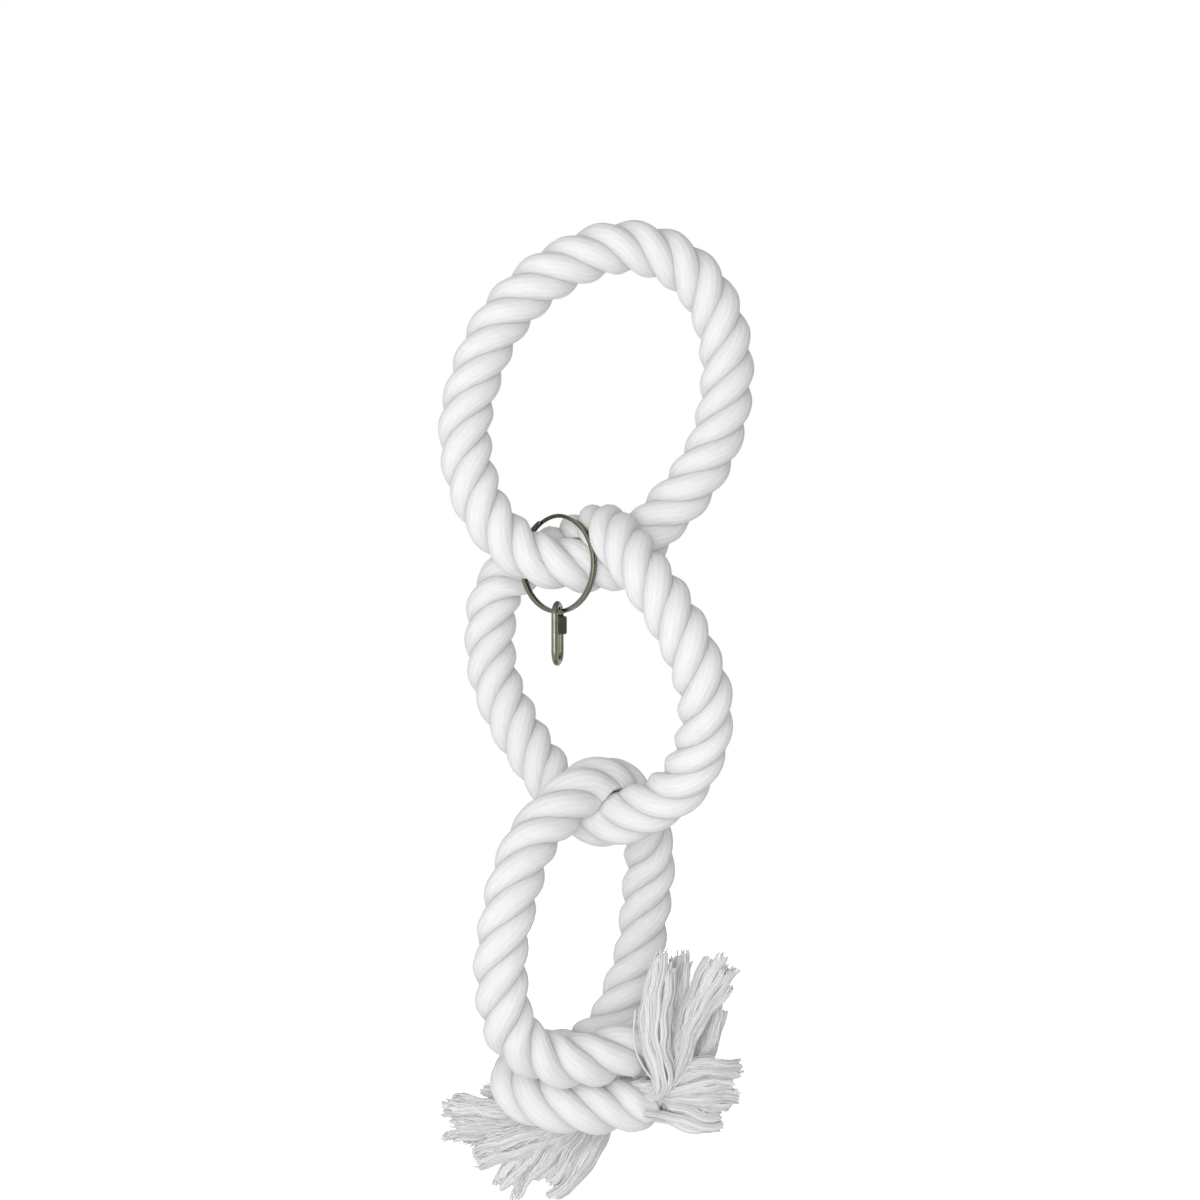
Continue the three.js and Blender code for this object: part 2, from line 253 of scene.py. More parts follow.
def frayed_cotton(fray):
    """Unlaid cotton yarn: loose fibres without twist, each yarn its own grey, dry and matt."""
    material, tree = start_material("Frayed cotton yarn")
    yarn = add_node(tree, "ShaderNodeNewGeometry")
    # Fluff about 0.8 mm across.
    fluff = add_noise(tree, 0.8 * MM, 3.0)
    part = add_node(tree, "ShaderNodeMath", {0: fluff, 1: 0.4}, operation="MULTIPLY")
    dull = add_node(tree, "ShaderNodeMath",
                    {0: yarn.outputs["Random Per Island"], 1: 0.7, 2: part.outputs["Value"]},
                    operation="MULTIPLY_ADD", use_clamp=True)
    tone = mix_colours(tree, dull.outputs["Value"], opaque(fray.pale), opaque(fray.grey))
    relief = add_node(tree, "ShaderNodeBump", {"Height": fluff, "Strength": 0.4, "Distance": 0.2 * MM})
    cotton = add_node(tree, "ShaderNodeBsdfPrincipled",
                      {"Base Color": tone, "Normal": relief.outputs["Normal"],
                       "Roughness": 0.95, "Sheen Weight": 0.2, "Sheen Roughness": 0.6,
                       "Specular IOR Level": 0.15})
    add_node(tree, "ShaderNodeOutputMaterial", {"Surface": cotton.outputs["BSDF"]})
    return material


def nickel_plate(name, rgb, roughness):
    """Nickel-plated steel: a warm grey mirror, dulled in patches by handling, with fine drawing marks."""
    material, tree = start_material(name)
    # Handling marks about 3 mm across, and drawing marks 0.3 mm apart.
    marks = add_noise(tree, 3 * MM, 4.0)
    scratches = add_noise(tree, 0.3 * MM, 2.0)
    dullness = add_node(tree, "ShaderNodeMapRange",
                        {"Value": marks, "From Min": 0.3, "From Max": 0.7,
                         "To Min": roughness - 0.08, "To Max": roughness + 0.12})
    tone = mix_colours(tree, marks, opaque(rgb), opaque([0.55 * c for c in rgb]))
    relief = add_node(tree, "ShaderNodeBump", {"Height": scratches, "Strength": 0.15, "Distance": 0.05 * MM})
    plate = add_node(tree, "ShaderNodeBsdfPrincipled",
                     {"Base Color": tone, "Roughness": dullness.outputs["Result"],
                      "Normal": relief.outputs["Normal"], "Metallic": 1.0})
    add_node(tree, "ShaderNodeOutputMaterial", {"Surface": plate.outputs["BSDF"]})
    return material


# The part of the paper's white that doesn't come from the lamps.
PAPER_GLOW = 0.7


def backdrop_paper(paper):
    """White studio paper: shows white to the eye and to metal, and still takes the toy's shadow."""
    material, tree = start_material("Backdrop paper")
    share = add_node(tree, "ShaderNodeMath", {0: seen_rays(tree), 1: PAPER_GLOW}, operation="MULTIPLY")
    matt = add_node(tree, "ShaderNodeBsdfDiffuse", {"Color": opaque(paper)})
    white = add_node(tree, "ShaderNodeEmission",
                     {"Color": opaque(paper), "Strength": share.outputs["Value"]})
    mix = add_node(tree, "ShaderNodeAddShader", {0: matt.outputs["BSDF"], 1: white.outputs["Emission"]})
    add_node(tree, "ShaderNodeOutputMaterial", {"Surface": mix.outputs["Shader"]})
    return material


def add_object(name, data):
    """A new object in the scene for a mesh, a curve, a lamp or a camera."""
    added = bpy.data.objects.new(name, data)
    bpy.context.scene.collection.objects.link(added)
    return added


def finish_piece(piece, material, body, slot, *nodes):
    """Give a piece its material and body, and hide the solids that it stands for; the slot is not used."""
    piece.data.materials.append(material)
    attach(piece, body)
    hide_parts(*nodes)


def wrap_grid(name, places, closed=False, uv=None, groove=None):
    """A tube skinned from a grid: places holds, for each step along it, one ring of points round it.
    The ring's seam is welded, and so are the tube's two ends where it is closed; open ends are filled."""
    along, around = places.shape[:2]
    rows = np.arange(along + (1 if closed else 0)) % along
    columns = np.arange(around + 1) % around
    builder = bmesh.new()
    bmesh.ops.create_grid(builder, x_segments=len(columns) - 1, y_segments=len(rows) - 1, size=1.0)
    mesh = bpy.data.meshes.new(name)
    builder.to_mesh(mesh)
    builder.free()
    flat = np.empty(len(mesh.vertices) * 3, np.float32)
    mesh.vertices.foreach_get("co", flat)
    flat = flat.reshape(-1, 3)
    column = np.rint((flat[:, 0] + 1) / 2 * (len(columns) - 1)).astype(int)
    row = np.rint((flat[:, 1] + 1) / 2 * (len(rows) - 1)).astype(int)
    mesh.vertices.foreach_set("co", places[rows[row], columns[column]].astype(np.float32).ravel())
    if uv is not None:
        corner = np.empty(len(mesh.loops), np.int32)
        mesh.loops.foreach_get("vertex_index", corner)
        layer = mesh.uv_layers.new(name="strand")
        layer.data.foreach_set("uv", uv[row[corner], column[corner]].astype(np.float32).ravel())
    # groove holds how much painted shade each point takes.
    if groove is not None:
        attribute = mesh.attributes.new("groove", "FLOAT", "POINT")
        attribute.data.foreach_set("value", groove[rows[row], columns[column]].astype(np.float32))
    builder = bmesh.new()
    builder.from_mesh(mesh)
    bmesh.ops.remove_doubles(builder, verts=builder.verts, dist=1e-7)
    if not closed:
        bmesh.ops.holes_fill(builder, edges=[e for e in builder.edges if e.is_boundary], sides=0)
    bmesh.ops.recalc_face_normals(builder, faces=builder.faces)
    for face in builder.faces:
        face.smooth = True
    builder.to_mesh(mesh)
    builder.free()
    return add_object(name, mesh)


def unit(rows):
    """Vectors of length 1 in the same directions."""
    return rows / np.linalg.norm(rows, axis=-1, keepdims=True)


def smooth(t):
    """A soft step from 0 to 1."""
    t = np.clip(t, 0, 1)
    return t * t * (3 - 2 * t)


def follow_route(points, closed, step):
    """Evenly spaced points along the smooth curve through the points, and the curve's length."""
    knots = np.array(points, float) * MM
    if closed:
        padded = np.vstack([knots[-1], knots, knots[0], knots[1]])
    else:
        padded = np.vstack([2 * knots[0] - knots[1], knots, 2 * knots[-1] - knots[-2]])
    share = np.linspace(0, 1, 60, endpoint=False)[:, None]
    fine = []
    for a, b, c, d in zip(padded, padded[1:], padded[2:], padded[3:]):
        gaps = [max(math.sqrt(np.linalg.norm(q - p)), 1e-6) for p, q in ((a, b), (b, c), (c, d))]
        leave = ((b - a) / gaps[0] - (c - a) / (gaps[0] + gaps[1]) + (c - b) / gaps[1]) * gaps[1]
        reach = ((c - b) / gaps[1] - (d - b) / (gaps[1] + gaps[2]) + (d - c) / gaps[2]) * gaps[1]
        square, cube = share ** 2, share ** 3
        fine.append(b + leave * share + (3 * (c - b) - 2 * leave - reach) * square
                    + (2 * (b - c) + leave + reach) * cube)
    fine = np.vstack(fine + [padded[-2]])
    run = np.concatenate([[0], np.cumsum(np.linalg.norm(np.diff(fine, axis=0), axis=1))])
    count = int(round(run[-1] / step))
    at = np.linspace(0, run[-1], count + 1)
    even = np.stack([np.interp(at, run, fine[:, k]) for k in range(3)], axis=1)
    return even, run[-1]


def carry_frames(line, closed):
    """Normal and binormal along a line, with as little twist as the line allows."""
    if closed:
        ends = np.vstack([line[-2], line, line[1]])
    else:
        ends = np.vstack([2 * line[0] - line[1], line, 2 * line[-1] - line[-2]])
    tangents = [Vector(t) for t in unit(ends[2:] - ends[:-2])]
    first = tangents[0]
    least = min(range(3), key=lambda k: (abs(first[k]), -k))
    aside = first.cross(Vector([float(k == least) for k in range(3)])).normalized()
    normals = [first.cross(aside)]
    for before, after in zip(tangents, tangents[1:]):
        normal = normals[-1].copy()
        axis = before.cross(after)
        if axis.length > 1e-9:
            normal.rotate(Quaternion(axis.normalized(), before.angle(after)))
        normals.append(normal)
    if closed:
        twist = normals[0].angle(normals[-1])
        if first.dot(normals[0].cross(normals[-1])) > 0:
            twist = -twist
        for i, normal in enumerate(normals):
            normal.rotate(Quaternion(tangents[i], twist * i / (len(normals) - 1)))
    normals = np.array(normals)
    return normals, np.cross(np.array(tangents), normals)


class Rope:
    """A rope's middle line with its frames, and the way its strands wind about it."""

    def __init__(self, points, turns, closed, settings):
        line, length = follow_route(points, closed, settings.step)
        normals, binormals = carry_frames(line, closed)
        frayed = round(settings.unlaid / settings.step)
        keep = slice(0, -1) if closed else slice(frayed, -frayed)
        self.closed = closed
        self.turns = turns
        self.length = length
        self.radius = settings.diameter / 2
        self.middle = line[keep]
        self.normals = normals[keep]
        self.binormals = binormals[keep]
        self.run = np.linspace(0, length, len(line))[keep]

    def winding(self, strand):
        """The angle of a strand's crest at each step."""
        return TURN * (self.turns * self.run / self.length + strand / 3)

    def directions(self, i, angles):
        """Directions across the rope at step i."""
        return self.normals[i] * np.cos(angles)[:, None] + self.binormals[i] * np.sin(angles)[:, None]


def soft_least(values, limits, soft):
    """The lesser of two numbers, with a soft change from one to the other."""
    return np.minimum(values, limits) - soft * np.log1p(np.exp(-np.abs(values - limits) / soft))


# What counts as another pass of the same rope, in rope radii: how near it lies at most, and how far along
# the rope it is at least; and half the gap that is left between two passes.
PASS_NEAR = 2.1
PASS_APART = 3.2
PASS_GAP = 0.1 * MM
# A distance in metres that stands for no limit.
FAR = 1.0


def room_beside(rope, i, outward):
    """How far each outward direction may reach from step i before it meets the rope's next pass halfway."""
    away = rope.middle - rope.middle[i]
    square = np.einsum("ij,ij->i", away, away)
    other_pass = np.abs(rope.run - rope.run[i]) > PASS_APART * rope.radius
    near = (square < (PASS_NEAR * rope.radius) ** 2) & other_pass
    towards = np.maximum(outward @ away[near].T, 1e-6)
    return (square[near] / (2 * towards)).min(axis=1, initial=FAR) - PASS_GAP


def strand_face(settings, angle):
    """How far a strand's outer face lies from the rope's middle, at an angle from the strand's crest."""
    off = settings.diameter / 2 - settings.strand
    return off * np.cos(angle) + np.sqrt(settings.strand ** 2 - (off * np.sin(angle)) ** 2)


def ring_round(hardware):
    """The split ring's centre, the directions of its axis, its side and its top, and its wire's radius."""
    low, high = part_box("split_ring")
    centre = np.array((low + high) / 2)
    axis = np.array([math.cos(hardware.ring_yaw), math.sin(hardware.ring_yaw), 0])
    up = np.array([0.0, 0.0, 1.0])
    return centre, axis, unit(np.cross(axis, up)), up, (hardware.ring_bore + hardware.ring_height) / 2


# Turns of a joint that are looked at, from limit to limit.
SWING_STEPS = 7


def swing(child):
    """Turns of a body about its joint, from one limit to the other, each as a pivot and a rotation."""
    joint = next(j for j in frame["record"]["behaviour"]["joints"] if j["child"] == child)
    pivot, axis = np.array(joint["pos_m"]), Vector(joint["axis"])
    return [(pivot, np.array(Matrix.Rotation(math.radians(angle), 3, axis)))
            for angle in np.linspace(*joint["range_deg"], SWING_STEPS)]


def press_off(points, line, hollow, turns):
    """Move points out of the hollow round a line, at every turn that the points make about it."""
    for pivot, turn in turns:
        moved = (points - pivot) @ turn.T + pivot
        apart = moved[:, None, :] - line[None, :, :]
        square = np.einsum("ijk,ijk->ij", apart, apart)
        nearest = square.argmin(axis=1)
        away = apart[np.arange(len(points)), nearest]
        distance = np.linalg.norm(away, axis=1)
        kept = -soft_least(-distance, np.full(len(points), -hollow), 0.05 * MM)
        points = (moved + away * (kept / distance - 1)[:, None] - pivot) @ turn + pivot
    return points


def room_to_wire(start, outward, wire, dent, turns):
    """How far each outward direction may reach from a start before it comes to the split ring's wire, at
    every turn that the rope makes against the wire."""
    least = np.full(len(outward), FAR)
    for pivot, turn in turns:
        apart = wire - ((start - pivot) @ turn.T + pivot)
        ahead = outward @ turn.T @ apart.T
        inside = ahead ** 2 - np.einsum("ij,ij->i", apart, apart) + dent ** 2
        entry = np.where((inside > 0) & (ahead > 0), ahead - np.sqrt(np.maximum(inside, 0)), FAR)
        least = np.minimum(least, entry.min(axis=1))
    return least


def squeeze(points, others, settings):
    """How hard each point is pressed by another rope, from 0 where none is near to 1 where they touch."""
    least = np.full(len(points), settings.press)
    for other in others:
        apart = points[:, None, :] - other.middle[None, ::2, :]
        square = np.einsum("ijk,ijk->ij", apart, apart)
        least = np.minimum(least, np.sqrt(square.min(axis=1)))
    return smooth((settings.press - least) / (settings.press - settings.hollow))


# A strand's mesh: points across each yarn, the share that it fills of its third of the rope, where the
# points of its flat sides lie from its inner edge to its skin, and how far that edge is from the middle.
YARN_POINTS = 8
FILLED = 0.994
FLANK = np.array([0.72, 0.45, 0.2])
HEART = 0.4 * MM
# Waves along each ring in which a strand swells and thins, and their height.
SWELL_WAVES = (5, 9, 16, 27)
SWELL = 0.3 * MM
# Share of the yarns that run off a strand's edge while it winds a third of the way round.
YARN_LEAN = 0.45
# Share of a groove's depth that closes, and of its shade that goes, where another rope presses.
CLOSING = 0.75
CLEARING = 0.5
# A strand's thickness at a frayed end, as a share of the whole.
END_SHARE = 0.6
# Half the width of a strand's face, a strand's length along its rope, and the slant of its fibres.
HALF_FACE = 7 * MM
STRAND_LENGTH = 1.4
FIBRE_SLANT = 0.3


def lay_strand(name, rope, strand, settings, hollow, wire, others, seed):
    """One strand: a third of the rope's section, round outside and flat against its neighbours inside,
    wound along the rope and ridged by its yarns. It is pressed flat where the rope lies against itself,
    hollowed where it hooks over the rope that carries it and dented where the split ring's wire lies on it,
    and its grooves close where other ropes press."""
    outer = np.linspace(-1, 1, YARN_POINTS * settings.yarns + 1) * FILLED
    angle = outer * TURN / 6
    rounded = strand_face(settings, angle)
    sunk = (rope.radius - rounded) / (rope.radius - rounded[0])
    chance = random.Random(seed)
    share = rope.run / rope.length
    swell = 0
    for count in SWELL_WAVES:
        start, change = chance.uniform(0, TURN), chance.uniform(0.8, 1.2)
        swell = swell + np.sin(TURN * round(count * change) * share + start) / len(SWELL_WAVES)
    winding = rope.winding(strand)
    steps = len(rope.middle)
    around = len(outer) + 2 * len(FLANK) + 1
    places = np.empty((steps, around, 3))
    groove = np.ones((steps, around))
    for i in range(steps):
        yarn = outer * settings.yarns / 2 + YARN_LEAN * settings.yarns * winding[i] / (TURN / 3)
        ridge = np.abs(np.sin(math.pi * yarn)) ** 0.7
        # Painted shade for the groove attribute: strongest in the grooves between the strands and between
        # the yarns' ridges.
        groove[i, :len(outer)] = np.minimum(sunk ** 2 + 0.25 * (1 - ridge), 1)
        reach = rounded + settings.yarn_depth * (ridge - 0.8) + SWELL * (swell[i] - 1) * (1 - 0.5 * sunk)
        outward = rope.directions(i, winding[i] + angle)
        pressed = squeeze(rope.middle[i] + outward * reach[:, None], others, settings)
        reach = reach + CLOSING * pressed * (rope.radius - rounded)
        groove[i, :len(outer)] *= 1 - CLEARING * pressed
        if not rope.closed:
            end = min(rope.run[i] - rope.run[0], rope.run[-1] - rope.run[i])
            reach = reach * (END_SHARE + (1 - END_SHARE) * smooth(end / settings.taper))
            room = room_beside(rope, i, outward)
            reach = np.where(room < FAR / 2, soft_least(reach, room, 0.5 * MM), reach)
        if wire and np.linalg.norm(wire[0] - rope.middle[i], axis=1).min() < 2 * rope.radius:
            reach = np.minimum(reach, room_to_wire(rope.middle[i], outward, *wire))
        skin = rope.middle[i] + outward * reach[:, None]
        heart = rope.middle[i] + rope.directions(i, winding[i:i + 1])[0] * HEART
        down = heart + (skin[-1] - heart) * FLANK[:, None]
        up = heart + (skin[0] - heart) * FLANK[::-1, None]
        places[i] = np.vstack([skin, down, heart, up])
        if hollow and np.linalg.norm(hollow[0] - rope.middle[i], axis=1).min() < 4 * rope.radius:
            places[i] = press_off(places[i], *hollow)
    across = np.concatenate([outer, np.linspace(1, 3, around + 1 - len(outer))]) * HALF_FACE
    distance = STRAND_LENGTH * (np.append(rope.run, rope.length) if rope.closed else rope.run)
    slanted = across[None, :] + FIBRE_SLANT * distance[:, None]
    uv = np.stack([np.broadcast_to(distance[:, None], slanted.shape), slanted], axis=2)
    return wrap_grid(name, places, rope.closed, uv, groove)


def lay_out_ropes(settings):
    """The middle lines of the three ropes, each under its body's name."""
    return {
        "top_ring": Rope(TOP_ROUTE, RING_TURNS, True, settings),
        "middle_ring": Rope(MIDDLE_ROUTE, RING_TURNS, True, settings),
        "bottom_ring": Rope(BOTTOM_ROUTE, TIED_TURNS, False, settings),
    }


# Points round the split ring's wire that the ropes keep clear of.
WIRE_POINTS = 200


class TOY_OT_lay_rope(bpy.types.Operator):
    """Lay the three strands of each rope ring"""
    bl_idname = "toy.lay_rope"
    bl_label = "Lay Rope Rings"

    def execute(self, context):
        settings = context.scene.toy_rope
        cotton = cotton_rope(settings)
        ropes = lay_out_ropes(settings)
        centre, _, side, up, radius = ring_round(context.scene.toy_hardware)
        bend = np.linspace(0, TURN, WIRE_POINTS, endpoint=False)[:, None]
        wire = centre + radius * (up * np.cos(bend) + side * np.sin(bend))
        wire_swing = [(pivot, turn.T) for pivot, turn in swing("split_ring")]
        hollows = {
            "middle_ring": (ropes["top_ring"].middle, settings.hollow, swing("middle_ring")),
            "bottom_ring": (ropes["middle_ring"].middle, settings.hollow, swing("bottom_ring")),
        }
        dents = {
            "top_ring": (wire, settings.dent, wire_swing),
            "middle_ring": (wire, settings.dent, wire_swing + swing("middle_ring")),
        }
        for place, (ring, rope) in enumerate(ropes.items()):
            others = [other for name, other in ropes.items() if name != ring]
            for strand in range(3):
                piece = lay_strand(f"{ring}_cotton_strand_{strand + 1}", rope, strand, settings,
                                   hollows.get(ring), dents.get(ring), others, 10 * place + strand)
                finish_piece(piece, cotton, ring, "cotton_rope", f"{ring}_strand_{strand + 1}")
        return {"FINISHED"}


# Locks of each frayed end, in millimetres: the solid that a lock stands for, the points that its middle
# passes once it has left its strand, its widths at the neck, in the fan and at the cut end, its thickness,
# and how far its edges bend back.
RIGHT_LOCKS = (
    ("right_end_lock_1", ((22, -19, -391), (17.5, -22, -366), (24, -20, -322)), (9, 16, 13), 12, 2),
    ("right_end_lock_1", ((27, -11, -388), (27, -12, -362), (32, -6, -325)), (6, 10, 13), 9, 1),
    ("right_end_lock_3", ((27, -18, -388), (35, -20, -362), (57, -15, -327)), (8, 14, 28), 13, 3),
    ("right_end_lock_3", ((31, -9, -392), (43, -5, -374), (49, -2, -348)), (8, 14, 14), 11, 2),
    ("right_end_lock_2", ((30, -17, -396), (40, -21, -393), (62, -15, -395)), (10, 29, 27), 17, 5),
    ("right_end_lock_2", ((28, -15, -408), (37, -17, -411), (55, -12, -412)), (13, 13, 9), 13, 2),
)
LEFT_LOCKS = (
    ("left_end_lock_1", ((-20, 34, -416), (-48, 33, -413), (-79, 30, -402)), (8, 12, 14), 10, 2),
    ("left_end_lock_1", ((-20, 31, -420), (-56, 25, -422), (-95, 22, -420)), (10, 19, 36), 16, 4),
    ("left_end_lock_2", ((-18, 30, -423), (-50, 24, -431), (-83, 22, -440)), (9, 18, 16), 13, 2),
    ("left_end_lock_2", ((-18, 29, -424), (-47, 23, -439), (-69, 22, -464)), (10, 15, 6), 9, 2),
    ("left_end_lock_2", ((-18, 27, -426), (-44, 21, -443), (-57, 20, -465)), (10, 16, 7), 10, 2),
    ("left_end_lock_3", ((-12, 30, -420), (-28, 23, -432), (-42, 21, -446), (-49, 28, -452)),
     (13, 22, 18), 16, 4),
    ("left_end_lock_3", ((-8, 30, -418), (-20, 22, -432), (-31, 20, -448), (-39, 29, -455)),
     (15, 28, 20), 17, 5),
)
# How far from a strand's axis its yarns lie where they start to come loose.
SLEEVE = 8.9 * MM
# A single yarn that hangs loose in front of the knot.
LOOSE_YARN = ((17, -21, -390), (11, -25, -381), (7.2, -26, -370), (7.8, -25, -355))
# Lengths along a lock: where it is narrowest, where its yarns leave the strand, and over which they loosen.
NECK = 15 * MM
LEAVING = 4 * MM
LOOSENING = 14 * MM
# Share of a lock's length at which its fan has its width.
FAN_AT = 0.6
# Section of a lock that makes one ribbon, and width of its cut end that makes one tuft, in millimetres.
RIBBON_SECTION = 26
TUFT_WIDTH = 6
# Points of a lock that its sizes are evened over, and points along each of its yarns.
EVENED = 13
YARN_STEPS = 20


def even_out(t, stages, sizes):
    """Half a lock's size at each point along it, from its sizes in millimetres at a few stages."""
    padded = np.pad(np.interp(t, stages, sizes), EVENED // 2, "edge")
    return np.convolve(padded, np.ones(EVENED) / EVENED, "valid") / 2 * MM


def comb_lock(roots, guide, widths, thickness, bow, fray, seed):
    """Lines of one lock with their radii. Ribbons of matted yarn leave the strand's surface, narrow to a
    neck, open into a wavy fan, gather into a few tufts and end unevenly where they were cut; yarns and loose
    threads lie over each ribbon."""
    chance = random.Random(seed)
    middle, length = follow_route([*roots, *guide], False, MM)
    along = unit(np.gradient(middle, axis=0))
    back = np.array([0.0, 1.0, 0.0])
    side = unit(np.cross(along, back))
    depth = np.cross(side, along)
    run = np.linspace(0, length, len(middle))
    t = run / length
    stages = (NECK / length, FAN_AT, 1)
    wide = even_out(t, stages, widths)
    deep = even_out(t, stages, (widths[0], thickness, 0.8 * thickness))
    loose = smooth((run - LEAVING) / LOOSENING)
    ribbons = max(4, round(max(widths) * thickness / RIBBON_SECTION))
    tufts = max(2, round(widths[2] / TUFT_WIDTH))
    tuft_level = [chance.uniform(-0.4, 0.4) for _ in range(tufts)]
    tuft_reach = [1 - 0.1 * chance.random() for _ in range(tufts)]
    lines = []

    def draw(across, ahead, begin, reach, radius, stray):
        pick = np.rint(np.linspace(begin, min(reach, 1) * (len(middle) - 1), YARN_STEPS)).astype(int)
        across = across + loose * stray * chance.uniform(-1, 1)
        ahead = ahead + loose * stray * chance.uniform(-1, 1)
        bent = back * (bow * MM * loose * np.minimum(np.abs(across / wide), 1.3) ** 2)[:, None]
        place = middle + side * across[:, None] + depth * ahead[:, None] + bent
        lines.append((place[pick], radius[pick]))

    for ribbon in range(ribbons):
        share = (2 * (ribbon + 0.5) / ribbons - 1) * 0.95
        tuft = int((share + 1) / 2 * tufts)
        gather = 0.35 * smooth((t - 0.45) / 0.55)
        place = share + ((2 * (tuft + 0.5) / tufts - 1) * 0.95 - share) * gather
        level = (tuft_level[tuft] + chance.uniform(-0.55, 0.55)) * math.sqrt(1 - 0.8 * share ** 2)
        reach = tuft_reach[tuft] * (0.99 - 0.07 * chance.random() - 0.06 * share ** 2)
        wave = TURN * run / (chance.uniform(13, 21) * MM) + chance.uniform(0, TURN)
        sway = chance.uniform(0.3, 0.8) * MM * loose
        matted = np.clip(3 * MM * wide / (max(widths) * MM), 0.5 * MM, 2 * MM)
        rim = chance.choice((-1, -1, 1)) * math.sqrt(1 - share ** 2)
        core = (1 - loose) * SLEEVE * share + loose * place * (wide - 0.6 * matted) + sway * np.sin(wave)
        rise = (1 - loose) * SLEEVE * rim + loose * level * deep + sway * np.cos(0.9 * wave)
        begin = chance.randint(0, 5)
        draw(core, rise, begin, 0.96 * reach, 0.95 * matted * (0.3 + 0.7 * loose), 0.0)
        for _ in range(fray.yarns):
            angle = chance.uniform(0, TURN) + chance.uniform(-1.2, 1.2) * t
            flare = matted * (0.6 + 0.4 * loose) + MM * chance.random() * t ** 4
            draw(core + flare * np.cos(angle), rise + flare * np.sin(angle), begin + chance.randint(0, 3),
                 reach * (1 - 0.06 * chance.random()),
                 fray.yarn * chance.uniform(0.7, 1.25) * np.ones_like(t), 0.3 * MM)
        for _ in range(fray.fibres):
            angle = chance.uniform(0, TURN)
            draw(core + 1.3 * matted * np.cos(angle), rise + 1.3 * matted * np.sin(angle), begin,
                 reach * chance.uniform(0.8, 1.03), fray.fibre * np.ones_like(t), 1.4 * MM)
    return lines


def spin_yarns(name, lines):
    """A mesh of round yarns along the lines, each with its own radius at every point."""
    data = bpy.data.curves.new(name, "CURVE")
    data.dimensions = "3D"
    data.bevel_depth = 1.0
    data.bevel_resolution = 1
    data.use_fill_caps = True
    for line, radius in lines:
        spline = data.splines.new("POLY")
        spline.points.add(len(line) - 1)
        for point, place, thick in zip(spline.points, line, radius):
            point.co = (*place, 1)
            point.radius = thick
    drawn = add_object(name, data)
    bpy.context.view_layer.update()
    mesh = bpy.data.meshes.new_from_object(drawn.evaluated_get(bpy.context.evaluated_depsgraph_get()))
    bpy.data.objects.remove(drawn)
    bpy.data.curves.remove(data)
    mesh.name = name
    for face in mesh.polygons:
        face.use_smooth = True
    return add_object(name, mesh)


# How far before a strand's end its yarns come loose, and how far from the rope's middle they lie there.
ROOT_LENGTH = 10 * MM
ROOT_REACH = 5 * MM


def strand_roots(rope, step, inward, target):
    """Two points in millimetres inside the strand whose end lies nearest the target: where its yarns start
    to come loose, and its end."""
    inner = step + inward * round(ROOT_LENGTH / (rope.length / len(rope.middle)))
    tries = []
    for strand in range(3):
        winding = rope.winding(strand)
        tries.append([rope.middle[i] + rope.directions(i, winding[i:][:1])[0] * ROOT_REACH
                      for i in (inner, step)])
    best = min(tries, key=lambda points: np.linalg.norm(points[1] - target))
    return [point / MM for point in best]


class TOY_OT_fray_ends(bpy.types.Operator):
    """Comb out the frayed locks of the two rope ends"""
    bl_idname = "toy.fray_ends"
    bl_label = "Fray Rope Ends"

    def execute(self, context):
        fray = context.scene.toy_fray
        rope = lay_out_ropes(context.scene.toy_rope)["bottom_ring"]
        yarn = frayed_cotton(fray)
        lines = {}
        for locks, step, inward in ((RIGHT_LOCKS, 0, 1), (LEFT_LOCKS, -1, -1)):
            for number, (node, guide, widths, thickness, bow) in enumerate(locks):
                roots = strand_roots(rope, step, inward, np.array(guide[0]) * MM)
                lines.setdefault(node, []).extend(
                    comb_lock(roots, guide, widths, thickness, bow, fray, 100 * (step + 2) + number))
        loose = follow_route(LOOSE_YARN, False, 2 * MM)[0]
        lines["right_end_lock_1"].append((loose, np.full(len(loose), fray.yarn)))
        for node, strands in lines.items():
            piece = spin_yarns(node.replace("_lock_", "_frayed_yarns_"), strands)
            finish_piece(piece, yarn, "bottom_ring", "frayed_cotton", node)
        return {"FINISHED"}


# The split ring's wire: the angle by which each end stops short, the angle over which it steps from one
# turn to the other, how square its section is, and how much of it is left at its rounded ends.
END_ANGLE = 0.5
STEP_ANGLE = 0.9
SQUARENESS = 0.45
END_TAPER = 0.75


def squared(values):
    """Cosines or sines, moved from a round section towards a square one."""
    return np.sign(values) * np.abs(values) ** SQUARENESS


class TOY_OT_coil_split_ring(bpy.types.Operator):
    """Coil the split ring's flat wire round the top ring"""
    bl_idname = "toy.coil_split_ring"
    bl_label = "Coil Split Ring"

    def execute(self, context):
        hardware = context.scene.toy_hardware
        centre, axis, across, up, middle_radius = ring_round(hardware)
        pitch = hardware.ring_width + hardware.ring_gap
        turns = np.linspace(END_ANGLE, 2 * TURN - END_ANGLE, 300)
        rise = smooth((turns - TURN) / STEP_ANGLE + 0.5) - 0.5
        corner = np.linspace(0, TURN, 20, endpoint=False)
        height = squared(np.cos(corner)) * hardware.ring_height / 2
        width = squared(np.sin(corner)) * hardware.ring_width / 2
        places = np.empty((len(turns), len(corner), 3))
        for i, turn in enumerate(turns):
            out = up * math.cos(turn) - across * math.sin(turn)
            place = centre + out * middle_radius + axis * pitch * rise[i]
            taper = END_TAPER if i in (0, len(turns) - 1) else 1.0
            places[i] = place + taper * (out * height[:, None] + axis * width[:, None])
        piece = wrap_grid("split_ring_coil", places)
        nickel = nickel_plate("Nickel-plated steel wire", hardware.nickel, 0.22)
        finish_piece(piece, nickel, "split_ring", "nickel_plated_steel", "split_ring")
        return {"FINISHED"}


# The quick link's thread and the chamfer at its wire's ends.
THREAD_LENGTH = 3.2 * MM
THREAD_PITCH = 0.5 * MM
THREAD_DEPTH = 0.13 * MM
WIRE_CHAMFER = 0.35 * MM


